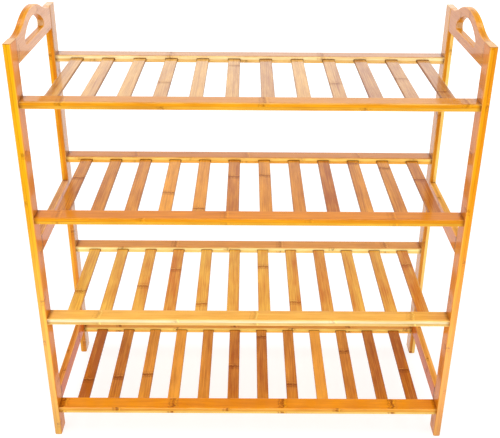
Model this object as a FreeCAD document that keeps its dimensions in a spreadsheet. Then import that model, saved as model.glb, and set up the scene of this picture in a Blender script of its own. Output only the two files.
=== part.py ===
"""Four-tier slatted bamboo shoe rack, in millimetres, +Z up.

The origin is on the floor, under the middle of the rack. X runs across the rack, along
the shelf rails. Y runs from the front (-Y) to the back (+Y).

Two side frames, each of two legs, an arched handle and two stretchers held by dowels,
carry four shelves. A shelf is two rails with twelve slats let into slots in their inner
faces. One screw through a leg holds each rail end.
"""

import FreeCAD, Part
import Sketcher
import os
from math import cos, pi, sin, sqrt

Vector = FreeCAD.Vector
UP = Vector(0, 0, 1)
HALF_TURN = FreeCAD.Rotation(UP, 180)

doc = FreeCAD.newDocument("ShoeRack")

# --------------------------------------------------------------------------------------
# Driving dimensions. A height is measured from the floor
# --------------------------------------------------------------------------------------

DIMENSIONS = [
    ("rack_width", 700, "across the legs' outer faces"),
    ("rack_depth", 280, "over the legs' front and rear faces"),
    ("leg_height", 717, "floor to leg top"),
    ("leg_thickness", 12, "left to right"),
    ("leg_depth", 32, "front to back"),
    ("bar_round", 2.5, "rounding along the long edges of legs, rails and stretchers"),
    ("leg_end_round", 1.2, "easing around a leg's top and bottom"),
    ("tier_count", 4, "shelves"),
    ("bottom_rail_top", 61, "height of the bottom shelf's rails"),
    ("tier_spacing", 190.3, "shelf to shelf"),
    ("rail_depth", 30, "front to back: the rail lies flat"),
    ("rail_thickness", 12, "top to bottom"),
    ("rail_setback", 1, "rail's outer face behind the leg's"),
    ("slat_count", 12, "slats on a shelf"),
    ("slats_per_node", 2, "neighbouring slats that share a node"),
    ("slat_pitch", 54.6, "centre to centre"),
    ("slat_width", 21, "left to right"),
    ("slat_thickness", 4.6, "top to bottom"),
    ("slat_drop", 4.8, "slat's top below the rail's"),
    ("slat_round", 1, "easing along a slat's edges"),
    ("slot_depth", 9, "how far a slat goes into a rail"),
    ("slot_side_gap", 0.7, "room beside a slat"),
    ("slot_top_gap", 0.8, "room above a slat"),
    ("slot_corner", 1.5, "slot's corner radius"),
    ("handle_thickness", 11, "left to right, centred on the legs"),
    ("handle_bottom", 678, "height of the handle's lower edge"),
    ("handle_rise", 23, "crown above the leg's top"),
    ("crown_radius", 140, "outer arch"),
    ("handle_round", 2, "rounding around the handle and its hand hole"),
    ("grip_bottom", 694, "height of the hand hole's lower edge"),
    ("grip_side", 10, "hand hole's straight side"),
    ("grip_arch", 21, "hand hole's arch above its straight side"),
    ("grip_width", 118, "front to back"),
    ("grip_corner", 5, "hand hole's corner radius"),
    ("stretcher_height", 30, "top to bottom"),
    ("middle_stretcher_bottom", 365, "height of its lower edge"),
    ("bottom_stretcher_bottom", 55, "height of its lower edge"),
    ("dowel_diameter", 6, ""),
    ("dowel_length", 24, "half of it in the leg"),
    ("dowel_inset", 8, "dowel from the lower and upper edge of the piece it joins"),
    ("dowel_chamfer", 0.8, "at each end"),
    ("dowel_hole_spare", 0.5, "room past a dowel's end"),
    ("screw_diameter", 4, ""),
    ("screw_length", 40, "under the head"),
    ("screw_tip", 3, "length of its point"),
    ("head_diameter", 8, ""),
    ("head_height", 2.4, ""),
    ("socket_flats", 3, "hexagon across flats"),
    ("socket_depth", 1.6, ""),
    ("leg_hole", 4.4, "screw's clearance hole"),
    ("counterbore_diameter", 8.8, ""),
    ("counterbore_depth", 2.6, ""),
]

sheet = doc.addObject("Spreadsheet::Sheet", "Size")
for row, (alias, value, note) in enumerate(DIMENSIONS, start=1):
    sheet.set(f"A{row}", alias)
    sheet.set(f"B{row}", str(value))
    sheet.set(f"C{row}", note)
    sheet.setAlias(f"B{row}", alias)
doc.recompute()

# Formulas that several pieces share
HALF_RAIL = "(Size.rack_width / 2 - Size.leg_thickness)"
HALF_GAP = "(Size.rack_depth / 2 - Size.leg_depth)"
SIDE_X = "(Size.rack_width / 2 - Size.leg_thickness / 2)"
LEG_Y = "(Size.rack_depth / 2 - Size.leg_depth / 2)"
RAIL_Y = "(Size.rack_depth / 2 - Size.rail_setback)"
SCREW_INSET = "(Size.rail_setback + Size.rail_depth / 2)"
SCREW_Z = "(Size.bottom_rail_top - Size.rail_thickness / 2)"
SCREW_SEAT = "(Size.rack_width / 2 - Size.counterbore_depth)"
TIER_SPAN = "(Size.tier_spacing * (Size.tier_count - 1))"
SLAT_SPAN = "(Size.slat_pitch * (Size.slat_count - 1))"
DOWEL_HOLE = "(Size.dowel_length / 2 + Size.dowel_hole_spare)"

TIER_NAMES = ["bottom", "third", "second", "top"]
STRETCHERS = {
    "middle": "Size.middle_stretcher_bottom",
    "bottom": "Size.bottom_stretcher_bottom",
}


def value_of(formula):
    """What a formula gives now, for a sketch's starting shape."""
    return float(sheet.evalExpression(formula))


# --------------------------------------------------------------------------------------
# Bodies and sketches
# --------------------------------------------------------------------------------------

sub_parts = []


def new_body(label, turned=False, **place):
    """A body with its label, turned about Z or not, and a formula for each coordinate."""
    body = doc.addObject("PartDesign::Body", label)
    body.Label = label
    if turned:
        body.Placement = FreeCAD.Placement(Vector(), HALF_TURN)
    for axis, formula in place.items():
        body.setExpression(f"Placement.Base.{axis}", formula)
    sub_parts.append(body)
    return body


def datum(body, role):
    """One of the body's origin planes or axes."""
    for feature in body.Origin.OriginFeatures:
        if feature.Role == role:
            return feature
    raise ValueError(f"{body.Label} has no {role}")


def new_sketch(body, plane, offset=None):
    """A sketch on an origin plane, or moved along the plane's normal by a formula."""
    sketch = body.newObject("Sketcher::SketchObject", f"{body.Name}_sketch")
    sketch.AttachmentSupport = (datum(body, plane), [""])
    sketch.MapMode = "FlatFace"
    if offset:
        sketch.setExpression("AttachmentOffset.Base.z", offset)
    return sketch


def relate(sketch, kind, *where):
    """A constraint without a number, such as Tangent or Vertical."""
    sketch.addConstraint(Sketcher.Constraint(kind, *where))


def measure(sketch, kind, *where, formula):
    """A dimension of the sketch, bound to a formula."""
    index = sketch.addConstraint(Sketcher.Constraint(kind, *where, value_of(formula)))
    sketch.setExpression(f"Constraints[{index}]", formula)


# A sketch's origin, as Sketcher names it, and the two ends and the centre of a curve
ORIGIN = (-1, 1)
START = 1
END = 2
CENTRE = 3


def add_line(sketch, start, end):
    return sketch.addGeometry(Part.LineSegment(Vector(*start, 0), Vector(*end, 0)))


def add_arc(sketch, centre, radius, start_angle, end_angle):
    circle = Part.Circle(Vector(*centre, 0), UP, radius)
    return sketch.addGeometry(Part.ArcOfCircle(circle, start_angle, end_angle))


def add_circle(sketch, across, up, diameter):
    """A circle at (across, up) from the sketch's origin, all three as formulas."""
    centre = Vector(value_of(across), value_of(up), 0)
    index = sketch.addGeometry(Part.Circle(centre, UP, value_of(diameter) / 2))
    measure(sketch, "DistanceX", *ORIGIN, index, CENTRE, formula=across)
    measure(sketch, "DistanceY", *ORIGIN, index, CENTRE, formula=up)
    measure(sketch, "Diameter", index, formula=diameter)


def add_polygon(sketch, corners):
    """Closed straight lines through the corners. Returns the first line's number."""
    first = None
    for number, corner in enumerate(corners):
        line = add_line(sketch, corner, corners[(number + 1) % len(corners)])
        first = line if first is None else first
    for number in range(len(corners)):
        following = first + (number + 1) % len(corners)
        relate(sketch, "Coincident", first + number, END, following, START)
    return first


def add_rectangle(sketch, width, height, left, bottom):
    """An upright rectangle, its size and its lower left corner given as formulas."""
    x0, y0 = value_of(left), value_of(bottom)
    x1, y1 = x0 + value_of(width), y0 + value_of(height)
    lower = add_polygon(sketch, [(x0, y0), (x1, y0), (x1, y1), (x0, y1)])
    right, upper, left_side = lower + 1, lower + 2, lower + 3
    relate(sketch, "Horizontal", lower)
    relate(sketch, "Horizontal", upper)
    relate(sketch, "Vertical", right)
    relate(sketch, "Vertical", left_side)
    measure(sketch, "DistanceX", *ORIGIN, lower, START, formula=left)
    measure(sketch, "DistanceY", *ORIGIN, lower, START, formula=bottom)
    measure(sketch, "Distance", lower, formula=width)
    measure(sketch, "Distance", right, formula=height)


# --------------------------------------------------------------------------------------
# Features
# --------------------------------------------------------------------------------------


def add_feature(body, kind, **settings):
    """Add a feature, give it its settings and make it the body's result."""
    feature = body.newObject(f"PartDesign::{kind}", f"{body.Name}_{kind}")
    for name, setting in settings.items():
        setattr(feature, name, setting)
    body.Tip = feature
    return feature


def pad(body, sketch, length):
    """Grow the sketch by half the length to each side of its plane."""
    feature = add_feature(body, "Pad", Profile=sketch, SideType="Symmetric")
    feature.setExpression("Length", length)
    doc.recompute()
    return feature


def cut(body, sketch, depth=None, against_normal=True):
    """Cut to a depth, against or along the sketch's normal, or right through both ways."""
    before = body.Shape.Volume
    feature = add_feature(body, "Pocket", Profile=sketch)
    if depth:
        feature.setExpression("Length", depth)
        feature.Reversed = not against_normal
    else:
        feature.Type = "ThroughAll"
        feature.SideType = "Symmetric"
    doc.recompute()
    if not feature.Shape.Volume < before:
        raise RuntimeError(f"{feature.Label} cuts nothing")
    return feature


def dress(body, kind, size, wanted):
    """Fillet or chamfer the edges that the test picks from the body as it is now."""
    base = body.Tip
    edges = [f"Edge{n}" for n, edge in enumerate(base.Shape.Edges, start=1) if wanted(edge)]
    feature = add_feature(body, kind, Base=(base, edges))
    feature.setExpression("Radius" if kind == "Fillet" else "Size", size)
    doc.recompute()
    return feature


def repeat(body, originals, axis, span, count):
    """Repeat features along an origin axis, or the whole shape where none is named."""
    feature = add_feature(body, "LinearPattern", Direction=(datum(body, axis), [""]))
    if originals:
        feature.Originals = originals
    else:
        feature.TransformMode = "Whole shape"
    feature.setExpression("Length", span)
    feature.setExpression("Occurrences", count)
    doc.recompute()
    return feature


def mirror(body, originals, plane):
    """Mirror features in an origin plane, or the whole shape where none is named."""
    feature = add_feature(body, "Mirrored", MirrorPlane=(datum(body, plane), [""]))
    if originals:
        feature.Originals = originals
    else:
        feature.TransformMode = "Whole shape"
    doc.recompute()
    return feature


def runs_along(axis):
    """A test for straight edges along X, Y or Z."""

    def test(edge):
        if edge.Curve.TypeId != "Part::GeomLine":
            return False
        return abs(getattr(edge.Curve.Direction, axis)) > 0.999

    return test


def near(value, other):
    return abs(value - other) < 1e-4


# --------------------------------------------------------------------------------------
# Legs
# --------------------------------------------------------------------------------------


def dowel_heights():
    """The height of every dowel in a side frame, as formulas."""
    heights = ["Size.handle_bottom + Size.dowel_inset", "Size.leg_height - Size.dowel_inset"]
    for bottom in STRETCHERS.values():
        heights.append(f"{bottom} + Size.dowel_inset")
        heights.append(f"{bottom} + Size.stretcher_height - Size.dowel_inset")
    return heights


def make_leg(label, counterbore_side, turned, x, y):
    """A leg with screw holes across it, and dowel holes in the face towards the other leg.

    As drawn it is a front leg, standing at the origin. counterbore_side is 1 or -1, the
    side along X that the screws go in from. A rear leg is a front leg turned half round.
    """
    leg = new_body(label, turned, x=x, y=y)
    section = new_sketch(leg, "XY_Plane")
    left = "-Size.leg_thickness / 2"
    front = "-Size.leg_depth / 2"
    add_rectangle(section, "Size.leg_thickness", "Size.leg_depth", left, front)
    post = add_feature(leg, "Pad", Profile=section)
    post.setExpression("Length", "Size.leg_height")
    doc.recompute()
    dress(leg, "Fillet", "Size.bar_round", runs_along("z"))
    top = value_of("Size.leg_height")
    dress(
        leg,
        "Fillet",
        "Size.leg_end_round",
        lambda edge: near(edge.BoundBox.ZLength, 0)
        and (near(edge.BoundBox.ZMax, 0) or near(edge.BoundBox.ZMax, top)),
    )

    screw_y = f"{SCREW_INSET} - Size.leg_depth / 2"
    bore = new_sketch(leg, "YZ_Plane")
    add_circle(bore, screw_y, SCREW_Z, "Size.leg_hole")
    through = cut(leg, bore)
    outer_face = f"{counterbore_side} * Size.leg_thickness / 2"
    seat = new_sketch(leg, "YZ_Plane", outer_face)
    add_circle(seat, screw_y, SCREW_Z, "Size.counterbore_diameter")
    counterbore = cut(leg, seat, "Size.counterbore_depth", counterbore_side > 0)
    repeat(leg, [through, counterbore], "Z_Axis", TIER_SPAN, "Size.tier_count")

    # The XZ plane's normal is -Y, so this sketch lies on the leg's +Y face
    joints = new_sketch(leg, "XZ_Plane", "-Size.leg_depth / 2")
    for height in dowel_heights():
        add_circle(joints, "0", height, "Size.dowel_diameter")
    cut(leg, joints, DOWEL_HOLE, against_normal=False)


# --------------------------------------------------------------------------------------
# Handles and stretchers
# --------------------------------------------------------------------------------------


def bore_both_ends(body, heights):
    """Dowel holes in a piece's +Y end face, mirrored to its other end."""
    joints = new_sketch(body, "XZ_Plane", f"-{HALF_GAP}")
    for height in heights:
        add_circle(joints, "0", height, "Size.dowel_diameter")
    holes = cut(body, joints, DOWEL_HOLE, against_normal=False)
    mirror(body, [holes], "XZ_Plane")


def add_handle_outline(sketch):
    """A straight lower edge, and a crown that flows down into the leg tops.

    Each flank is an arc that leaves the leg's top level and meets the crown's arc
    smoothly. Both radii follow from the crown's radius and its rise.
    """
    half = value_of(HALF_GAP)
    bottom = value_of("Size.handle_bottom")
    top = value_of("Size.leg_height")
    rise = value_of("Size.handle_rise")
    crown = value_of("Size.crown_radius")
    both_radii = f"({HALF_GAP}^2 + Size.handle_rise^2) / (2 * Size.handle_rise)"
    flank_radius = f"{both_radii} - Size.crown_radius"
    flank = value_of(flank_radius)

    # Where the right flank meets the crown, on the line between their centres
    crown_centre = Vector(0, top + rise - crown, 0)
    flank_centre = Vector(half, top + flank, 0)
    towards = (flank_centre - crown_centre).normalize()
    lean = towards.getAngle(Vector(1, 0, 0))

    lower = add_line(sketch, (-half, bottom), (half, bottom))
    right_end = add_line(sketch, (half, bottom), (half, top))
    right_flank = add_arc(sketch, (half, top + flank), flank, pi + lean, 1.5 * pi)
    arch = add_arc(sketch, (0, crown_centre.y), crown, lean, pi - lean)
    left_flank = add_arc(sketch, (-half, top + flank), flank, 1.5 * pi, 2 * pi - lean)
    left_end = add_line(sketch, (-half, top), (-half, bottom))

    relate(sketch, "Coincident", lower, END, right_end, START)
    relate(sketch, "Coincident", right_end, END, right_flank, END)
    relate(sketch, "Tangent", right_flank, START, arch, START)
    relate(sketch, "Tangent", arch, END, left_flank, END)
    relate(sketch, "Coincident", left_flank, START, left_end, START)
    relate(sketch, "Coincident", left_end, END, lower, START)
    relate(sketch, "Horizontal", lower)
    relate(sketch, "Vertical", right_end)
    relate(sketch, "Vertical", left_end)
    measure(sketch, "DistanceX", *ORIGIN, lower, END, formula=HALF_GAP)
    measure(sketch, "DistanceX", lower, START, *ORIGIN, formula=HALF_GAP)
    measure(sketch, "DistanceY", *ORIGIN, lower, START, formula="Size.handle_bottom")
    measure(sketch, "DistanceY", *ORIGIN, right_end, END, formula="Size.leg_height")
    measure(sketch, "DistanceY", *ORIGIN, left_end, START, formula="Size.leg_height")
    measure(sketch, "Radius", arch, formula="Size.crown_radius")
    measure(sketch, "Radius", right_flank, formula=flank_radius)
    measure(sketch, "Radius", left_flank, formula=flank_radius)


def add_grip_outline(sketch):
    """The D-shaped hand hole: flat below, short upright sides, an arch above."""
    half = value_of("Size.grip_width / 2")
    bottom = value_of("Size.grip_bottom")
    shoulder = bottom + value_of("Size.grip_side")
    arch_radius = "((Size.grip_width / 2)^2 + Size.grip_arch^2) / (2 * Size.grip_arch)"
    radius = value_of(arch_radius)
    centre = (0, shoulder + value_of("Size.grip_arch") - radius)
    right_shoulder = Vector(half, shoulder - centre[1], 0)
    lean = right_shoulder.getAngle(Vector(1, 0, 0))

    lower = add_line(sketch, (-half, bottom), (half, bottom))
    right = add_line(sketch, (half, bottom), (half, shoulder))
    arch = add_arc(sketch, centre, radius, lean, pi - lean)
    left = add_line(sketch, (-half, shoulder), (-half, bottom))

    relate(sketch, "Coincident", lower, END, right, START)
    relate(sketch, "Coincident", right, END, arch, START)
    relate(sketch, "Coincident", arch, END, left, START)
    relate(sketch, "Coincident", left, END, lower, START)
    relate(sketch, "Horizontal", lower)
    relate(sketch, "Vertical", right)
    relate(sketch, "Vertical", left)
    measure(sketch, "DistanceX", *ORIGIN, lower, END, formula="Size.grip_width / 2")
    measure(sketch, "DistanceX", lower, START, *ORIGIN, formula="Size.grip_width / 2")
    measure(sketch, "DistanceY", *ORIGIN, lower, START, formula="Size.grip_bottom")
    measure(sketch, "Distance", right, formula="Size.grip_side")
    measure(sketch, "Distance", left, formula="Size.grip_side")
    measure(sketch, "Radius", arch, formula=arch_radius)


def make_handle(label, x):
    """The arched board between two leg tops, with its hand hole."""
    handle = new_body(label, x=x)
    outline = new_sketch(handle, "YZ_Plane")
    add_handle_outline(outline)
    pad(handle, outline, "Size.handle_thickness")
    grip = new_sketch(handle, "YZ_Plane")
    add_grip_outline(grip)
    cut(handle, grip)

    half_grip = value_of("Size.grip_width / 2")
    across = runs_along("x")
    dress(
        handle,
        "Fillet",
        "Size.grip_corner",
        lambda edge: across(edge) and near(abs(edge.CenterOfMass.y), half_grip),
    )
    half_gap = value_of(HALF_GAP)
    dress(
        handle,
        "Fillet",
        "Size.handle_round",
        lambda edge: near(edge.BoundBox.XLength, 0)
        and not near(abs(edge.CenterOfMass.y), half_gap),
    )
    bore_both_ends(handle, dowel_heights()[:2])


def make_stretcher(label, x, z):
    """A bar between the two legs of a side frame. Its lower edge is at its own z = 0."""
    bar = new_body(label, x=x, z=z)
    section = new_sketch(bar, "XZ_Plane")
    left = "-Size.leg_thickness / 2"
    add_rectangle(section, "Size.leg_thickness", "Size.stretcher_height", left, "0")
    pad(bar, section, f"2 * {HALF_GAP}")
    dress(bar, "Fillet", "Size.bar_round", runs_along("y"))
    upper_dowel = "Size.stretcher_height - Size.dowel_inset"
    bore_both_ends(bar, ["Size.dowel_inset", upper_dowel])


# --------------------------------------------------------------------------------------
# Shelves
# --------------------------------------------------------------------------------------


def add_slot_outline(sketch, middle):
    """A slot with rounded corners, whose flat bottom carries the slat.

    middle is the formula for the slot's place along the rail. The rail's top is at 0.
    """
    width = "(Size.slat_width + 2 * Size.slot_side_gap)"
    height = "(Size.slat_thickness + Size.slot_top_gap)"
    bottom = "(-Size.slat_drop - Size.slat_thickness)"
    corner = value_of("Size.slot_corner")
    x0 = value_of(middle) - value_of(width) / 2
    x1 = x0 + value_of(width)
    y0 = value_of(bottom)
    y1 = y0 + value_of(height)

    lower = add_line(sketch, (x0 + corner, y0), (x1 - corner, y0))
    right = add_line(sketch, (x1, y0 + corner), (x1, y1 - corner))
    upper = add_line(sketch, (x1 - corner, y1), (x0 + corner, y1))
    left = add_line(sketch, (x0, y1 - corner), (x0, y0 + corner))
    centres = [
        (x1 - corner, y0 + corner),
        (x1 - corner, y1 - corner),
        (x0 + corner, y1 - corner),
        (x0 + corner, y0 + corner),
    ]
    sides = [lower, right, upper, left]
    corners = []
    for number, centre in enumerate(centres):
        start_angle = (number - 1) * pi / 2
        corners.append(add_arc(sketch, centre, corner, start_angle, start_angle + pi / 2))
    for number, rounding in enumerate(corners):
        relate(sketch, "Tangent", sides[number], END, rounding, START)
        relate(sketch, "Tangent", rounding, END, sides[(number + 1) % 4], START)
    for rounding in corners[1:]:
        relate(sketch, "Equal", corners[0], rounding)
    relate(sketch, "Horizontal", lower)
    relate(sketch, "Vertical", right)
    measure(sketch, "Radius", corners[0], formula="Size.slot_corner")
    measure(sketch, "DistanceX", *ORIGIN, left, END, formula=f"{middle} - {width} / 2")
    measure(sketch, "DistanceY", *ORIGIN, lower, START, formula=bottom)
    measure(sketch, "DistanceX", left, END, right, START, formula=width)
    measure(sketch, "DistanceY", lower, END, upper, START, formula=height)


def make_rail(label, turned, y, z):
    """A shelf rail, lying flat. As drawn it is a front rail, its outer face at y = 0 and
    its top at z = 0.

    The twelve slots are in the face towards the other rail. Each end has the screw's
    pilot hole. A rear rail is a front rail turned half round.
    """
    rail = new_body(label, turned, y=y, z=z)
    section = new_sketch(rail, "YZ_Plane")
    add_rectangle(section, "Size.rail_depth", "Size.rail_thickness", "0", "-Size.rail_thickness")
    pad(rail, section, f"2 * {HALF_RAIL}")
    dress(rail, "Fillet", "Size.bar_round", runs_along("x"))

    # The XZ plane's normal is -Y, so this sketch lies on the rail's inner face
    slot = new_sketch(rail, "XZ_Plane", "-Size.rail_depth")
    add_slot_outline(slot, f"(-{SLAT_SPAN} / 2)")
    first_slot = cut(rail, slot, "Size.slot_depth", against_normal=False)
    repeat(rail, [first_slot], "X_Axis", SLAT_SPAN, "Size.slat_count")

    pilot = new_sketch(rail, "YZ_Plane", HALF_RAIL)
    middle = ("Size.rail_depth / 2", "-Size.rail_thickness / 2")
    add_circle(pilot, *middle, "Size.screw_diameter")
    depth = f"Size.screw_length - ({SCREW_SEAT} - {HALF_RAIL})"
    hole = cut(rail, pilot, depth)
    mirror(rail, [hole], "YZ_Plane")


def make_slats(label, x, z):
    """Neighbouring slats of a shelf. The first one's top is centred on its own origin."""
    slats = new_body(label, x=x, z=z)
    section = new_sketch(slats, "XZ_Plane")
    left = "-Size.slat_width / 2"
    add_rectangle(section, "Size.slat_width", "Size.slat_thickness", left, "-Size.slat_thickness")
    pad(slats, section, f"2 * ({RAIL_Y} - Size.rail_depth + Size.slot_depth)")
    dress(slats, "Fillet", "Size.slat_round", runs_along("y"))
    span = "Size.slat_pitch * (Size.slats_per_node - 1)"
    repeat(slats, [], "X_Axis", span, "Size.slats_per_node")


# --------------------------------------------------------------------------------------
# Fasteners
# --------------------------------------------------------------------------------------


def add_screw_profile(sketch):
    """Half of a screw's section, along its axis at y = 0, with its head at the +X end."""
    seat = value_of(SCREW_SEAT)
    crown = seat + value_of("Size.head_height")
    tip = seat - value_of("Size.screw_length")
    shoulder = tip + value_of("Size.screw_tip")
    shank = value_of("Size.screw_diameter / 2")
    head = value_of("Size.head_diameter / 2")
    corners = [(tip, 0), (crown, 0), (crown, head), (seat, head), (seat, shank), (shoulder, shank)]
    axis = add_polygon(sketch, corners)
    top, rim, under_head, side = axis + 1, axis + 2, axis + 3, axis + 4
    relate(sketch, "PointOnObject", axis, START, -1)
    for level in (axis, rim, side):
        relate(sketch, "Horizontal", level)
    for upright in (top, under_head):
        relate(sketch, "Vertical", upright)
    measure(sketch, "DistanceX", *ORIGIN, under_head, END, formula=SCREW_SEAT)
    measure(sketch, "Distance", axis, formula="Size.screw_length + Size.head_height")
    measure(sketch, "Distance", rim, formula="Size.head_height")
    measure(sketch, "Distance", top, formula="Size.head_diameter / 2")
    measure(sketch, "DistanceY", *ORIGIN, under_head, END, formula="Size.screw_diameter / 2")
    measure(sketch, "Distance", side, formula="Size.screw_length - Size.screw_tip")


def add_hexagon(sketch, flats):
    """A hexagon about the origin, two of its flats level, its size given as a formula."""
    radius = value_of(flats) / sqrt(3)
    ring = sketch.addGeometry(Part.Circle(Vector(), UP, radius), True)
    angles = [number * pi / 3 for number in range(6)]
    first = add_polygon(sketch, [(radius * cos(a), radius * sin(a)) for a in angles])
    for number in range(6):
        relate(sketch, "PointOnObject", first + number, START, ring)
    for number in range(1, 6):
        relate(sketch, "Equal", first, first + number)
    relate(sketch, "Coincident", ring, CENTRE, *ORIGIN)
    relate(sketch, "PointOnObject", first, START, -1)
    measure(sketch, "Diameter", ring, formula=f"2 * {flats} / sqrt(3)")


def make_screws(label):
    """Every shelf screw: a pointed shank, a flat head and a hex socket."""
    screws = new_body(label)
    screws.setExpression("Placement.Base.y", f"-(Size.rack_depth / 2 - {SCREW_INSET})")
    screws.setExpression("Placement.Base.z", SCREW_Z)
    profile = new_sketch(screws, "XZ_Plane")
    add_screw_profile(profile)
    turned = add_feature(screws, "Revolution", Profile=profile)
    turned.ReferenceAxis = (profile, ["H_Axis"])
    turned.Angle = 360
    doc.recompute()
    edge_of_head = value_of("Size.head_diameter / 2")
    crown = value_of(f"{SCREW_SEAT} + Size.head_height")
    dress(
        screws,
        "Fillet",
        "Size.head_height / 3",
        lambda edge: edge.Curve.TypeId == "Part::GeomCircle"
        and near(edge.Curve.Radius, edge_of_head)
        and near(edge.CenterOfMass.x, crown),
    )
    socket = new_sketch(screws, "YZ_Plane", f"{SCREW_SEAT} + Size.head_height")
    add_hexagon(socket, "Size.socket_flats")
    cut(screws, socket, "Size.socket_depth")
    mirror(screws, [], "YZ_Plane")
    span = f"2 * (Size.rack_depth / 2 - {SCREW_INSET})"
    repeat(screws, [], "Y_Axis", span, "2")
    repeat(screws, [], "Z_Axis", TIER_SPAN, "Size.tier_count")


def make_dowels(label):
    """Every dowel of both side frames, half in a leg and half in what it holds."""
    dowels = new_body(label)
    section = new_sketch(dowels, "XZ_Plane", f"-{HALF_GAP}")
    for height in dowel_heights():
        add_circle(section, SIDE_X, height, "Size.dowel_diameter")
    pad(dowels, section, "Size.dowel_length")
    dress(
        dowels,
        "Chamfer",
        "Size.dowel_chamfer",
        lambda edge: edge.Curve.TypeId == "Part::GeomCircle",
    )
    mirror(dowels, [], "XZ_Plane")
    mirror(dowels, [], "YZ_Plane")


# --------------------------------------------------------------------------------------
# The rack
# --------------------------------------------------------------------------------------


def make_side_frame(side, sign):
    """Two legs, the handle and the stretchers. sign is -1 on the left, 1 on the right."""
    x = f"{sign} * {SIDE_X}"
    make_leg(f"front_{side}_leg", sign, False, x, f"-{LEG_Y}")
    make_leg(f"rear_{side}_leg", -sign, True, x, LEG_Y)
    make_handle(f"{side}_handle", x)
    for name, bottom in STRETCHERS.items():
        make_stretcher(f"{side}_{name}_stretcher", x, bottom)


def make_shelf(tier, name):
    """Two rails and their slats, for the tier counted from the bottom."""
    rail_top = f"(Size.bottom_rail_top + {tier} * Size.tier_spacing)"
    make_rail(f"{name}_shelf_front_rail", False, f"-{RAIL_Y}", rail_top)
    make_rail(f"{name}_shelf_rear_rail", True, RAIL_Y, rail_top)
    slat_count = int(value_of("Size.slat_count"))
    slats_per_node = int(value_of("Size.slats_per_node"))
    for first in range(0, slat_count, slats_per_node):
        label = f"{name}_shelf_slats_{first + 1}_{first + slats_per_node}"
        x = f"{first} * Size.slat_pitch - {SLAT_SPAN} / 2"
        make_slats(label, x, f"{rail_top} - Size.slat_drop")


make_side_frame("left", -1)
make_side_frame("right", 1)
for tier, name in enumerate(TIER_NAMES):
    make_shelf(tier, name)
make_screws("shelf_screws")
make_dowels("frame_dowels")
doc.recompute()


# --------------------------------------------------------------------------------------
# Checks and export
# --------------------------------------------------------------------------------------

EXPECTED_SOLIDS = {"shelf_screws": 16, "frame_dowels": 24}

for thing in doc.Objects:
    if "Invalid" in thing.State or "Error" in thing.State:
        raise RuntimeError(f"{thing.Label} failed: {thing.State}")

for body in sub_parts:
    shape = body.Shape
    if shape.isNull() or not shape.isValid():
        raise RuntimeError(f"{body.Label} has no valid shape")
    expected = EXPECTED_SOLIDS.get(body.Label, 1)
    if "_slats_" in body.Label:
        expected = int(value_of("Size.slats_per_node"))
    if len(shape.Solids) != expected:
        raise RuntimeError(f"{body.Label} has {len(shape.Solids)} solids, not {expected}")

os.makedirs("parts", exist_ok=True)
for body in sub_parts:
    body.Shape.exportStep(f"parts/{body.Label}.step")

print(len(sub_parts), "sub-parts,", sum(len(body.Shape.Solids) for body in sub_parts), "solids")
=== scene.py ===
"""Looks for the tiered shoe rack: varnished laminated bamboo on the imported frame, in a white studio.

Every piece keeps its CAD shape. What is made here is the materials, the lights, the floor and the camera.
Materials work in millimetres from each piece's own middle, so the sizes in them are real ones.
"""

from collections import namedtuple
from math import radians

import bpy
from mathutils import Matrix, Vector


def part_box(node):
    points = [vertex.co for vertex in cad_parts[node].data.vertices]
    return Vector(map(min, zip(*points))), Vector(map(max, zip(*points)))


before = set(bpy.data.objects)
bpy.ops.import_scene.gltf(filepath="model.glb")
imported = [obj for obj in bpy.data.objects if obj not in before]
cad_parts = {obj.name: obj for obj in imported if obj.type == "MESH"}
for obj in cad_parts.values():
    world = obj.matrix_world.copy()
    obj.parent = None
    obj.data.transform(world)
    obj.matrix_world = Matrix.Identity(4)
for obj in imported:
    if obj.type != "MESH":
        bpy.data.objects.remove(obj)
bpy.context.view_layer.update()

X, Y, Z = 0, 1, 2
PER_METRE = 1000.0

# Bamboo, in mm
LAYER = 6.0              # boards are glued up from layers of this thickness
JOINT_LINE = 1.7         # half the width of the dark line at a joint of the cane
FAINT_LINE = 7.0         # from that line to the fainter one on one side of it
SCAR = 4.5               # and to the pale scar on the other side
SCAR_REACH = 2.4         # how far the scar fades out on each side
JOINT_HALO = 12.0        # how far the disturbed fibres reach on each side of the joint
GLUE_LINE = 0.35         # half the width of the line between two strips
BUNDLE = 0.85            # from one fibre bundle to the next in the end grain
SLOT = 9.0               # a slat's ends are this deep in the rails
PITCH = 54.6             # from one slat's middle to the next one's
FAR = 2000.0             # from joint to joint where a slat has room for one at most
NO_JOINT = FAR / 4       # so far from its middle that a slat has none
SHADES = 9               # a slat's shade goes from 0, palest, to this

# Bamboo's colours and varnish
EDGE_GLOSS = 0.08                       # the weight of the varnish on the boards' sanded edges
HANDLE_EDGE_GLOSS = 0.45                # and on the handles' polished ones
PAINTED_HIGHLIGHT = (0.95, 0.65, 0.20, 1.0)          # painted highlight along the rounded edges
PAINTED_FOOT_LIGHT = (0.85, 0.62, 0.50, 1.0)          # painted light, a paler colour on the legs' lower ends
END_GRAIN = (0.62, 0.34, 0.13, 1.0)     # between the bundles
DARKER = (0.34, 0.24, 0.20)             # times a board's colour, for joints, seams, flecks and the painted shade where boards meet
PALER = (1.5, 1.9, 3.0)                 # and for the scar beside a joint
SLAT_SPREAD = ((1.34, 1.72, 1.90), (0.65, 0.50, 0.35))      # times a slat's colour at shade 0 and at SHADES
BOARD_SPREAD = ((1.22, 1.32, 1.60), (0.82, 0.68, 0.50))     # and the range of the other boards
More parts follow.
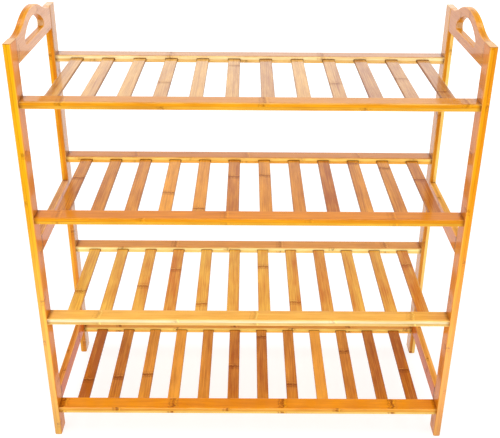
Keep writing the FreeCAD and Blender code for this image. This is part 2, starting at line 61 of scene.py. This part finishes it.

# How a board looks:
# face, edge, under: the shares of red, green and blue light sent back by its broad faces, and by the edges of
#     its high layer and of the one under it
# gloss: the weight of the varnish on its broad faces
# wear, marks: how strong the painted highlight along its rounded edges is, and how dark the cane's joints
# strip, shift: the width of its strips, and how far their seams are moved, as a share of one strip
# joint, internode: from its middle to a joint, and from there to the next; None lets each strip have its own
# The colours are mostly a fitting program's results, rounded, some of them then changed.
Look = namedtuple(
    "Look",
    "face edge under gloss wear marks strip shift joint internode",
    defaults=(16, 0.2, None, 262),
)
# Partly painted highlights: the pale edges of the rear rails and the cream front of the third front rail
# stand for the shine on those faces, on top of the bamboo's own tone.
RAIL_LOOKS = {
    "top_shelf_front": Look(
        (0.50, 0.190, 0.005), (0.60, 0.24, 0.002), (0.58, 0.28, 0.020),
        0.60, 0.28, 0.5, 30, 0.30, -128, 298),
    "top_shelf_rear": Look(
        (0.43, 0.180, 0.038), (0.88, 0.65, 0.300), (0.70, 0.44, 0.130),
        0.80, 0.50, 0.5, 30, 0.62, -271, 264),
    "second_shelf_front": Look(
        (0.65, 0.225, 0.006), (0.57, 0.22, 0.002), (0.56, 0.28, 0.016),
        0.60, 0.03, 0.3, 30, 0.35, -38, 265),
    "second_shelf_rear": Look(
        (0.54, 0.185, 0.003), (0.96, 0.56, 0.120), (0.76, 0.38, 0.050),
        0.80, 0.30, 0.3, 30, 0.62, -5, 206),
    "third_shelf_front": Look(
        (0.87, 0.460, 0.075), (0.58, 0.48, 0.250), (0.53, 0.34, 0.095),
        0.80, 0.60, 0.3, 30, 0.75, 10, 265),
    "third_shelf_rear": Look(
        (0.67, 0.290, 0.040), (1.00, 0.86, 0.320), (0.92, 0.60, 0.160),
        0.80, 0.50, 0.6, 30, 0.62, 62, 206),
    "bottom_shelf_front": Look(
        (0.76, 0.275, 0.004), (0.62, 0.28, 0.034), (0.70, 0.45, 0.105),
        0.70, 0.14, 1.0, 30, 0.30, 62, 197),
    "bottom_shelf_rear": Look(
        (0.66, 0.290, 0.036), (1.00, 0.65, 0.150), (1.00, 0.48, 0.080),
        0.80, 0.40, 1.0, 30, 0.62, -28, 237),
}
FRAME_LOOKS = {
    "front_left_leg": Look(
        (0.59, 0.190, 0.003), (0.66, 0.320, 0.001), (0.61, 0.285, 0.001), 0.42, 0.25, 0.5),
    "front_right_leg": Look(
        (0.53, 0.170, 0.003), (0.61, 0.220, 0.001), (0.65, 0.255, 0.001), 0.42, 0.25, 0.5),
    "rear_left_leg": Look(
        (0.53, 0.225, 0.035), (0.61, 0.200, 0.002), (0.70, 0.300, 0.006), 0.80, 0.20, 0.6),
    "rear_right_leg": Look(
        (0.54, 0.210, 0.008), (0.88, 0.550, 0.120), (0.53, 0.190, 0.003), 0.75, 0.30, 0.6),
    "left_handle": Look(
        (0.62, 0.262, 0.058), (0.58, 0.220, 0.006), (0.52, 0.180, 0.004), 0.75, 0.20, 0.4, 21),
    "right_handle": Look(
        (0.50, 0.165, 0.004), (0.62, 0.260, 0.006), (0.56, 0.210, 0.004), 0.62, 0.20, 0.4, 21),
    "left_middle_stretcher": Look(
        (0.55, 0.165, 0.002), (0.57, 0.280, 0.110), (0.50, 0.240, 0.080), 0.60, 0.50, 0.6, 15),
    "right_middle_stretcher": Look(
        (0.55, 0.175, 0.003), (0.74, 0.380, 0.060), (0.66, 0.320, 0.040), 0.60, 0.50, 0.6, 15),
    "left_bottom_stretcher": Look(
        (0.60, 0.120, 0.003), (0.67, 0.260, 0.040), (0.56, 0.200, 0.020), 0.38, 0.50, 0.6, 15),
    "right_bottom_stretcher": Look(
        (0.54, 0.115, 0.003), (0.81, 0.380, 0.070), (0.70, 0.300, 0.040), 0.38, 0.50, 0.6, 15),
}
SLAT_SIDE = (0.45, 0.17, 0.02)
# Partly painted light: the lower shelves' slats are made lighter than the top shelf's, to make up for the
# shade that the shelves above cast on them.
SLAT_LOOKS = {
    "top": Look((0.48, 0.200, 0.036), SLAT_SIDE, SLAT_SIDE, 0.80, 0.0, 0.6, PITCH, 0.5, 0, FAR),
    "second": Look((0.62, 0.210, 0.014), SLAT_SIDE, SLAT_SIDE, 0.62, 0.0, 0.8, PITCH, 0.5, 0, FAR),
    "third": Look((0.98, 0.380, 0.050), SLAT_SIDE, SLAT_SIDE, 0.80, 0.0, 0.8, PITCH, 0.5, 0, FAR),
    "bottom": Look((0.70, 0.255, 0.028), SLAT_SIDE, SLAT_SIDE, 0.80, 0.0, 1.0, PITCH, 0.5, 0, FAR),
}

# Each slat from left to right: its shade, and how far its joint is to the rear of its middle.
# The shades were set against measured mean brightnesses.
Slat = namedtuple("Slat", "shade joint")
SLATS = {
    "top": (
        Slat(4.6, NO_JOINT), Slat(4, NO_JOINT), Slat(3, NO_JOINT), Slat(4, -26),
        Slat(3, NO_JOINT), Slat(4, 70), Slat(6.6, NO_JOINT), Slat(3, NO_JOINT),
        Slat(5, -26), Slat(7, NO_JOINT), Slat(6, 0), Slat(7.4, -63),
    ),
    "second": (
        Slat(6, 26), Slat(5, NO_JOINT), Slat(4.6, NO_JOINT), Slat(1.4, -33),
        Slat(2.8, -92), Slat(6, 35), Slat(3.6, 41), Slat(4, NO_JOINT),
        Slat(7, NO_JOINT), Slat(4.4, 98), Slat(4.4, 76), Slat(7, 28),
    ),
    "third": (
        Slat(3.6, -43), Slat(4.6, NO_JOINT), Slat(4, -26), Slat(6.4, 32),
        Slat(4, -83), Slat(5, NO_JOINT), Slat(4, 46), Slat(4.8, -76),
        Slat(6, NO_JOINT), Slat(4.8, NO_JOINT), Slat(4.6, NO_JOINT), Slat(7, 54),
    ),
    "bottom": (
        Slat(9, -54), Slat(6, -46), Slat(3, -37), Slat(0.6, NO_JOINT),
        Slat(4.4, NO_JOINT), Slat(7, -11), Slat(6.2, 87), Slat(5.4, -65),
        Slat(0, NO_JOINT), Slat(5, 39), Slat(7.6, NO_JOINT), Slat(9, -20),
    ),
}

# The camera: where it stands, in metres, and how it is turned, in degrees. All but the sensor's width are a
# fitting program's results, rounded.
CAMERA_PLACE = (-0.00377, -1.2433, 1.00938)
CAMERA_YAW = 0.25
CAMERA_PITCH = -27.19
CAMERA_ROLL = 0.44
CAMERA_LENS = 57.06
SENSOR_WIDTH = 36.0


# A board while its material is made; Joints are the marks of the cane's joints on it
Board = namedtuple("Board", "node tree seed look slats size along across through swayed strip layer")
Joints = namedtuple("Joints", "line scar halo mottle warp tone")


class Value:
    """A number inside a material: arithmetic on it adds the nodes that work it out."""

    def __init__(self, tree, socket):
        self.tree = tree
        self.socket = socket

    def math(self, operation, *others):
        node = self.tree.nodes.new("ShaderNodeMath")
        node.operation = operation
        for place, value in zip(node.inputs, (self, *others)):
            feed(place, value)
        return Value(self.tree, node.outputs[0])

    def __add__(self, other):
        return self.math("ADD", other)

    def __sub__(self, other):
        return self.math("SUBTRACT", other)

    def __mul__(self, other):
        return self.math("MULTIPLY", other)

    def __truediv__(self, other):
        return self.math("DIVIDE", other)

    def __abs__(self):
        return self.math("ABSOLUTE")

    def floor(self):
        return self.math("FLOOR")

    def fraction(self):
        return self.math("FRACT")

    def held(self, least, most):
        return self.math("MAXIMUM", least).math("MINIMUM", most)

    def rise(self, start, end):
        """0 at start and 1 at end, with a soft step between; start may be the higher one."""
        node = self.tree.nodes.new("ShaderNodeMapRange")
        node.interpolation_type = "SMOOTHSTEP"
        for key, value in (("Value", self), ("From Min", start), ("From Max", end)):
            feed(node.inputs[key], value)
        return Value(self.tree, node.outputs["Result"])


def feed(socket, value):
    """Link a Value to the socket, or set a plain number or colour on it."""
    if isinstance(value, Value):
        value.tree.links.new(value.socket, socket)
    else:
        socket.default_value = value


def split(tree, socket):
    node = tree.nodes.new("ShaderNodeSeparateXYZ")
    tree.links.new(socket, node.inputs[0])
    return [Value(tree, output) for output in node.outputs]


def joined(tree, x, y, z):
    node = tree.nodes.new("ShaderNodeCombineXYZ")
    for socket, value in zip(node.inputs, (x, y, z)):
        feed(socket, value)
    return Value(tree, node.outputs[0])


def noise(tree, x, y, z, detail=2.0):
    """Smooth noise, mostly 0.3 to 0.7, whose grains are one unit across."""
    node = tree.nodes.new("ShaderNodeTexNoise")
    node.inputs["Scale"].default_value = 1.0
    node.inputs["Detail"].default_value = detail
    feed(node.inputs["Vector"], joined(tree, x, y, z))
    return Value(tree, node.outputs["Fac"])


def chances(tree, x, y, z):
    """Three random numbers from 0 to 1, the same all over a cell with whole-number coordinates."""
    node = tree.nodes.new("ShaderNodeTexWhiteNoise")
    feed(node.inputs["Vector"], joined(tree, x, y, z))
    return split(tree, node.outputs["Color"])


def mix(share, first, second):
    """A colour between first and second; share is a Value."""
    node = share.tree.nodes.new("ShaderNodeMix")
    node.data_type = "RGBA"
    colours = [socket for socket in node.inputs if socket.type == "RGBA"]
    feed(node.inputs[0], share)
    feed(colours[0], first)
    feed(colours[1], second)
    return Value(share.tree, node.outputs[2])


def times(colour, factors):
    """The colour with each part times its own factor, and no part over 1."""
    return (*(min(part * factor, 1.0) for part, factor in zip(colour, factors)), 1.0)


def new_material(name):
    material = bpy.data.materials.new(name)
    material.use_nodes = True
    return material, material.node_tree, material.node_tree.nodes["Principled BSDF"]


def raise_surface(tree, shader, height):
    """Bump, by a height in mm."""
    bump = tree.nodes.new("ShaderNodeBump")
    bump.inputs["Strength"].default_value = 1.0
    bump.inputs["Distance"].default_value = 1 / PER_METRE
    feed(bump.inputs["Height"], height)
    tree.links.new(bump.outputs["Normal"], shader.inputs["Normal"])


def laid_out(node, tree, seed, axes, look, slats):
    """The board with each spot's place on it, in mm from its middle, and the strip and layer it is in."""
    low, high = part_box(node)
    middle = (low + high) / 2
    size = [(high - low)[axis] * PER_METRE for axis in axes]
    place = split(tree, tree.nodes.new("ShaderNodeTexCoord").outputs["Object"])
    along, across, through = [(place[axis] - middle[axis]) * PER_METRE for axis in axes]
    swayed = across + noise(tree, along / 140, seed * 3.1, 0.0) * 2.4 - 1.2
    strip = (swayed / look.strip + look.shift).floor()
    layer = (through / LAYER).floor()
    return Board(node, tree, seed, look, slats, size, along, across, through, swayed, strip, layer)


def on_right_slat(board):
    return board.across.math("GREATER_THAN", 0.0)


def own_shade(board):
    """Halfway for a single board, or else the slat's shade as a share of SHADES."""
    if not board.slats:
        return 0.5
    left, right = board.slats
    return (on_right_slat(board) * (right.shade - left.shade) + left.shade) / SHADES


def internodes_passed(board):
    """How many internodes of the cane a spot is along the board, with a joint halfway through each."""
    look = board.look
    if board.slats:
        left, right = board.slats
        offset = on_right_slat(board) * (right.joint - left.joint)
        return (board.along - offset - left.joint) / look.internode + 0.5
    if look.joint is None:
        return board.along / look.internode + chances(board.tree, board.strip, board.layer, board.seed)[0]
    return (board.along - look.joint) / look.internode + board.layer * 0.5


def cane_joints(board):
    """What the cane's joints leave on the board, each stretch between two of them with a tone of its own."""
    tree, seed, look = board.tree, board.seed, board.look
    along, through, swayed, strip = board.along, board.through, board.swayed, board.strip
    turns = internodes_passed(board)
    bow = noise(tree, swayed / 9, through / 9, strip * 3.7 + seed) - 0.5
    warp = noise(tree, swayed / 2.5, through / 2.5, strip + seed) - 0.5
    reach = (turns.fraction() - 0.5) * look.internode + bow * 9 + warp * 3
    tone = chances(tree, (reach.math("SIGN") * 0.5 + turns.floor()) * 2.0, strip, seed)[1]
    broken = noise(tree, along / 2.5, swayed / 3.5, through / 3.5 + seed).rise(0.34, 0.52)
    line = abs(reach).rise(JOINT_LINE * 2, 0.0) * broken * look.marks
    faint_line = abs(reach + FAINT_LINE).rise(JOINT_LINE, 0.0) * broken * look.marks * 0.6
    scar = abs(reach - SCAR).rise(SCAR_REACH, 0.0) * broken
    halo = abs(reach).rise(JOINT_HALO, 0.0)
    mottle = noise(tree, along / 2.6, swayed / 1.3, through / 1.3 + seed).rise(0.47, 0.58) * halo * look.marks
    return Joints(line.math("MAXIMUM", faint_line), scar, halo, mottle, warp, tone)


def fibres(board, joints):
    """Broad streaks, single fibres and short dark flecks, all pulled aside at the joints."""
    tree, seed, along, through, strip = board.tree, board.seed, board.along, board.through, board.strip
    pulled = board.swayed + joints.warp * joints.halo * 3
    streak = noise(tree, along / 90, pulled / 2.1 + strip * 7.3, through / 2.1 + seed, 3.0)
    fibre = noise(tree, along / 22, pulled / 0.45 + strip * 5.1, through / 0.45 + seed, 3.0)
    fleck = noise(tree, along / 7, pulled / 0.38, through / 0.38 + seed * 2, 1.0).rise(0.64, 0.72)
    return streak, fibre, fleck


def strip_seams(board):
    """The lines of glue between neighbouring strips."""
    look = board.look
    place = (board.swayed / look.strip + look.shift).fraction() - 0.5
    return abs(place * look.strip).rise(look.strip / 2 - GLUE_LINE, look.strip / 2)


def fibre_bundles(board):
    """The dots that the bundles of fibres make in a cut end."""
    dots = board.tree.nodes.new("ShaderNodeTexVoronoi")
    dots.inputs["Scale"].default_value = 1 / BUNDLE
    feed(dots.inputs["Vector"], joined(board.tree, board.across, board.through, board.along * 0.05))
    return Value(board.tree, dots.outputs["Distance"]).rise(0.42, 0.2)


def grime_and_painted_shade(board):
    """Painted shade where the board runs into its neighbour, and along the sides of a slat."""
    length, width, _ = board.size
    half_length = length / 2 - (SLOT if board.slats else 0)
    reach = 8 if "rail" in board.node or "stretcher" in board.node else 2
    # painted shade towards the board's ends, where it meets its neighbour or goes into a slot
    painted_join_shade = abs(board.along).rise(half_length - reach, half_length)
    # painted shade along each slat's sides
    if board.slats:
        half_slat = (width - PITCH) / 2
        from_middle = abs(abs(board.across) - PITCH / 2)
        painted_join_shade = painted_join_shade + from_middle.rise(half_slat - 1.8, half_slat) * 0.6
    patches = noise(board.tree, board.along / 5, board.across / 5, board.through / 5) + 0.3
    return (painted_join_shade * patches).held(0.0, 0.9)


def bamboo(node, seed, axes, look, slats=None):
    """Varnished laminated bamboo for one CAD node.

    axes are the row's axes along the grain, across the board and through it. slats is for a node that holds
    two of them side by side, the left one first.
    """
    material, tree, shader = new_material(node)
    board = laid_out(node, tree, seed, axes, look, slats)
    turned = split(tree, tree.nodes.new("ShaderNodeNewGeometry").outputs["Normal"])
    ends, _, broad = [abs(turned[axis]) for axis in axes]
    on_edge = broad.rise(0.8, 0.4)
    joints = cane_joints(board)
    line, scar, halo, mottle, _, tone = joints
    streak, fibre, fleck = fibres(board, joints)
    seam = strip_seams(board)
    cloud = noise(tree, board.along / 60, board.across / 14 + seed, board.through / 14)

    # the wood's own colour at each spot, from its shade, its side of the board and its layer
    variation = (
        (streak - 0.5) * 1.2 + (fibre - 0.5) * 0.7 + (cloud - 0.5) * 0.8
        + (tone - 0.5) * 0.22 + halo * look.marks * 0.16
    )
    shade = (variation + own_shade(board)).held(0.0, 1.0)
    palest, darkest = SLAT_SPREAD if slats else BOARD_SPREAD
    face, edge, under = [
        mix(shade, times(part, palest), times(part, darkest)) for part in (look.face, look.edge, look.under)]
    colour = mix(on_edge, face, mix(board.layer.math("LESS_THAN", -0.5), edge, under))

    # the marks on it
    dark = times(look.face, DARKER)
    pale = times(look.face, PALER)
    colour = mix(fleck * 0.2, colour, dark)
    colour = mix(mottle * 0.85, colour, dark)
    colour = mix(scar * 0.4, colour, pale)
    colour = mix(line * 0.85, colour, dark)
    colour = mix(seam * 0.35, colour, dark)
    if not slats:
        colour = mix(abs(board.through).rise(GLUE_LINE * 2, 0.0) * 0.3, colour, dark)
    # painted shade where the board meets its neighbours and along each slat's sides
    colour = mix(grime_and_painted_shade(board), colour, dark)

    # painted light: the legs' front and rear faces are paler towards their feet
    if axes[0] == Z:
        painted_foot_light_share = 0.05 if "rear" in node else 0.17
        colour = mix(board.along.rise(150, -300) * on_edge * painted_foot_light_share, colour, PAINTED_FOOT_LIGHT)

    # cut ends show the fibre bundles as dots
    dot = fibre_bundles(board)
    cut = ends.rise(0.6, 0.85)
    colour = mix(cut, colour, mix(dot * 0.5, END_GRAIN, dark))

    # painted highlight: pale lines in patches along the rounded edges
    rounded = broad * broad * (broad * broad * -1.0 + 1.0) * 4.0
    patches = noise(tree, board.along / 70, board.across / 5, board.through / 5 + seed).rise(0.3, 0.6)
    painted_edge_highlight = rounded * patches * look.wear
    colour = mix(painted_edge_highlight, colour, PAINTED_HIGHLIGHT)

    feed(shader.inputs["Base Color"], colour)
    feed(shader.inputs["Roughness"], fibre * 0.3 + halo * 0.08 + cut * 0.15 + painted_edge_highlight * 0.08 + 0.27)
    height = (
        streak * 0.05 + fibre * 0.06 + line * 0.1 + mottle * 0.05 - seam * 0.06 - fleck * 0.04
        - dot * cut * 0.08
    )
    raise_surface(tree, shader, height)

    # the varnish lies thick on the broad faces, thin on the edges and thinner where the cane's joints were
    edge_gloss = HANDLE_EDGE_GLOSS if "handle" in node else EDGE_GLOSS
    varnish = broad.math("MAXIMUM", ends).rise(0.4, 0.8) * (look.gloss - edge_gloss) + edge_gloss
    varnish = varnish * (line.math("MAXIMUM", mottle) * -0.7 + 1.0) * (streak * -0.5 + 1.25)
    feed(shader.inputs["Coat Weight"], varnish)
    shader.inputs["Specular IOR Level"].default_value = 0.05
    shader.inputs["Coat Roughness"].default_value = 0.09
    shader.inputs["Coat IOR"].default_value = 1.5
    return material


def brushed_steel(node):
    """Zinc-plated screws: fine turning marks, cloudy plating and grimy patches."""
    material, tree, shader = new_material(node)
    place = split(tree, tree.nodes.new("ShaderNodeTexCoord").outputs["Object"])
    x, y, z = [part * PER_METRE for part in place]
    cloud = noise(tree, x / 1.5, y / 1.5, z / 1.5, 3.0)
    marks = noise(tree, x / 0.08, y / 0.9, z / 0.9, 1.0)
    grime_and_painted_shade = noise(tree, x / 0.5, y / 0.5, z / 0.5, 3.0).rise(0.55, 0.75)
    plated = mix(cloud, (0.50, 0.51, 0.54, 1.0), (0.66, 0.65, 0.63, 1.0))
    feed(shader.inputs["Base Color"], mix(grime_and_painted_shade * 0.4, plated, (0.16, 0.14, 0.12, 1.0)))
    feed(shader.inputs["Roughness"], cloud * 0.2 + grime_and_painted_shade * 0.2 + 0.2)
    shader.inputs["Metallic"].default_value = 1.0
    raise_surface(tree, shader, marks * 0.01)
    return material


def dowel_wood(node):
    """Raw turned hardwood, with straight grain along each dowel and darker, open ends."""
    material, tree, shader = new_material(node)
    place = split(tree, tree.nodes.new("ShaderNodeTexCoord").outputs["Object"])
    turned = split(tree, tree.nodes.new("ShaderNodeNewGeometry").outputs["Normal"])
    x, y, z = [part * PER_METRE for part in place]
    grain = noise(tree, x / 0.5, y / 14, z / 0.5, 3.0)
    pores = noise(tree, x / 0.2, y / 2.5, z / 0.2, 1.0).rise(0.6, 0.7)
    cut = abs(turned[Y]).rise(0.7, 0.95)
    wood = mix(grain, (0.62, 0.44, 0.26, 1.0), (0.45, 0.28, 0.14, 1.0))
    feed(shader.inputs["Base Color"], mix(pores * 0.4 + cut * 0.25, wood, (0.25, 0.14, 0.07, 1.0)))
    feed(shader.inputs["Roughness"], grain * 0.2 + 0.6)
    return material


def dress(node, material):
    """Put the material on a CAD node, in every one of its slots."""
    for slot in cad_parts[node].material_slots:
        slot.link = "OBJECT"
        slot.material = material


def board_material(node, seed):
    if "slats" in node:
        tier, _, _, first, last = node.split("_")
        pair = SLATS[tier][int(first) - 1:int(last)]
        return bamboo(node, seed, (Y, X, Z), SLAT_LOOKS[tier], pair)
    if "rail" in node:
        return bamboo(node, seed, (X, Y, Z), RAIL_LOOKS[node.removesuffix("_rail")])
    axes = (Z, Y, X) if "leg" in node else (Y, Z, X)
    return bamboo(node, seed, axes, FRAME_LOOKS[node])


def area_light(name, place, target, size, power):
    data = bpy.data.lights.new(name, "AREA")
    data.shape = "RECTANGLE"
    data.size, data.size_y = size
    data.energy = power
    light = bpy.data.objects.new(name, data)
    bpy.context.scene.collection.objects.link(light)
    direction = Vector(target) - Vector(place)
    light.rotation_euler = direction.to_track_quat("-Z", "Y").to_euler()
    light.location = place
    light.visible_camera = False


def pale_floor(reach):
    """Matt paper that glows a little, and more far away, so that it runs into the white walls unseen."""
    mesh = bpy.data.meshes.new("floor")
    corners = [(-reach, -reach, 0), (reach, -reach, 0), (reach, reach, 0), (-reach, reach, 0)]
    mesh.from_pydata(corners, [], [(0, 1, 2, 3)])
    floor = bpy.data.objects.new("floor", mesh)
    bpy.context.scene.collection.objects.link(floor)
    material, tree, shader = new_material("floor_paper")
    spot = tree.nodes.new("ShaderNodeTexCoord").outputs["Object"]
    away = tree.nodes.new("ShaderNodeVectorMath")
    away.operation = "LENGTH"
    tree.links.new(spot, away.inputs[0])
    shader.inputs["Base Color"].default_value = (0.32, 0.32, 0.32, 1.0)
    shader.inputs["Roughness"].default_value = 0.9
    shader.inputs["Specular IOR Level"].default_value = 0.1
    shader.inputs["Emission Color"].default_value = (1.0, 1.0, 1.0, 1.0)
    glow = Value(tree, away.outputs["Value"]).rise(0.6, 2.6) * 0.25 + 0.78
    feed(shader.inputs["Emission Strength"], glow)
    mesh.materials.append(material)


def white_studio():
    """Bright walls up to about 30 degrees, dimmer on the front's side, and a dim ceiling."""
    world = bpy.data.worlds.new("studio")
    world.use_nodes = True
    tree = world.node_tree
    heading = split(tree, tree.nodes.new("ShaderNodeTexCoord").outputs["Generated"])
    walls = heading[Z].rise(0.58, 0.30) * (heading[Y].rise(-0.7, 0.0) * 0.4 + 0.6)
    background = tree.nodes["Background"]
    background.inputs["Color"].default_value = (1.0, 1.0, 1.0, 1.0)
    feed(background.inputs["Strength"], walls * 1.2 + 0.3)
    bpy.context.scene.world = world


for count, node in enumerate(sorted(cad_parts)):
    if node == "shelf_screws":
        dress(node, brushed_steel(node))
    elif node == "frame_dowels":
        dress(node, dowel_wood(node))
    else:
        dress(node, board_material(node, count + 1.0))

pale_floor(9.0)
white_studio()
area_light("key", (-0.6, -2.4, 1.9), (0, 0, 0.3), (2.4, 1.6), 29)
area_light("low_front", (0.0, -0.5, 0.02), (0, -0.5, 1.0), (2.4, 0.5), 6)
area_light("ceiling", (0.0, 0.0, 3.0), (0, 0, 0), (3.0, 3.0), 75)
bpy.context.scene.view_settings.view_transform = "Standard"

camera = bpy.data.objects.new("camera", bpy.data.cameras.new("camera"))
camera.data.lens = CAMERA_LENS
camera.data.sensor_width = SENSOR_WIDTH
turn = (
    Matrix.Rotation(-radians(CAMERA_YAW), 4, "Z")
    @ Matrix.Rotation(radians(90 + CAMERA_PITCH), 4, "X")
    @ Matrix.Rotation(radians(CAMERA_ROLL), 4, "Z")
)
camera.matrix_world = Matrix.Translation(CAMERA_PLACE) @ turn
bpy.context.scene.collection.objects.link(camera)
bpy.context.scene.camera = camera
